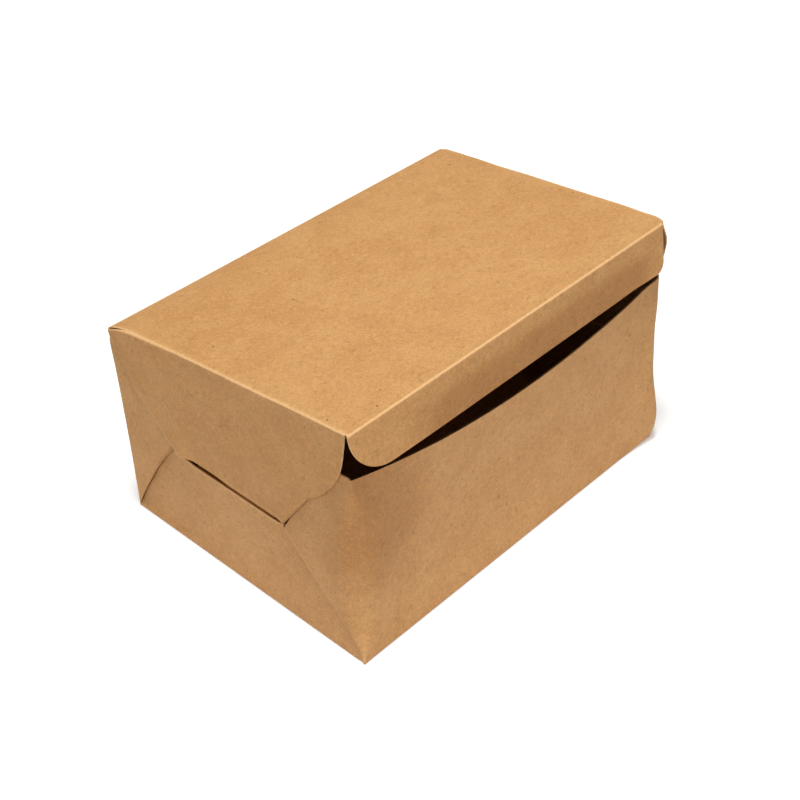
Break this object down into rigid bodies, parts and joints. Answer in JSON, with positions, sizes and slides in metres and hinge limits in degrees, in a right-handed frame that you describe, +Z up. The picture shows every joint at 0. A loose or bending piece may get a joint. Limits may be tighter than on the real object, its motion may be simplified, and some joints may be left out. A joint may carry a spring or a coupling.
{
  "type": "cake box",
  "caption": "Folding cake box of brown kraft card with low end walls, a hinged lid whose side flaps tuck into the ends, and a front flap over a curved rim.",
  "frame": {"origin": "centre of the tray's underside, on the surface that the box stands on", "axes": "+X along the box's length, -Y towards the front flap, +Z up"},
  "size_m": [0.1516, 0.1079, 0.0913],
  "materials": {
    "kraft_card": "matt unbleached kraft with fine fibre streaks and dark flecks"
  },
  "bodies": {
    "tray": {"tray": "kraft_card"},
    "lid": {"lid": "kraft_card"},
    "front_flap": {"front_flap": "kraft_card"}
  },
  "joints": [
    {"name": "lid_hinge", "type": "hinge", "parent": "tray", "child": "lid", "pos_m": [0, 0.05275, 0.0764], "axis": [-1, 0, 0], "range_deg": [0, 172]},
    {"name": "front_flap_hinge", "type": "hinge", "parent": "lid", "child": "front_flap", "pos_m": [0, -0.05227, 0.09079], "axis": [-1, 0, 0], "range_deg": [0, 90]}
  ]
}
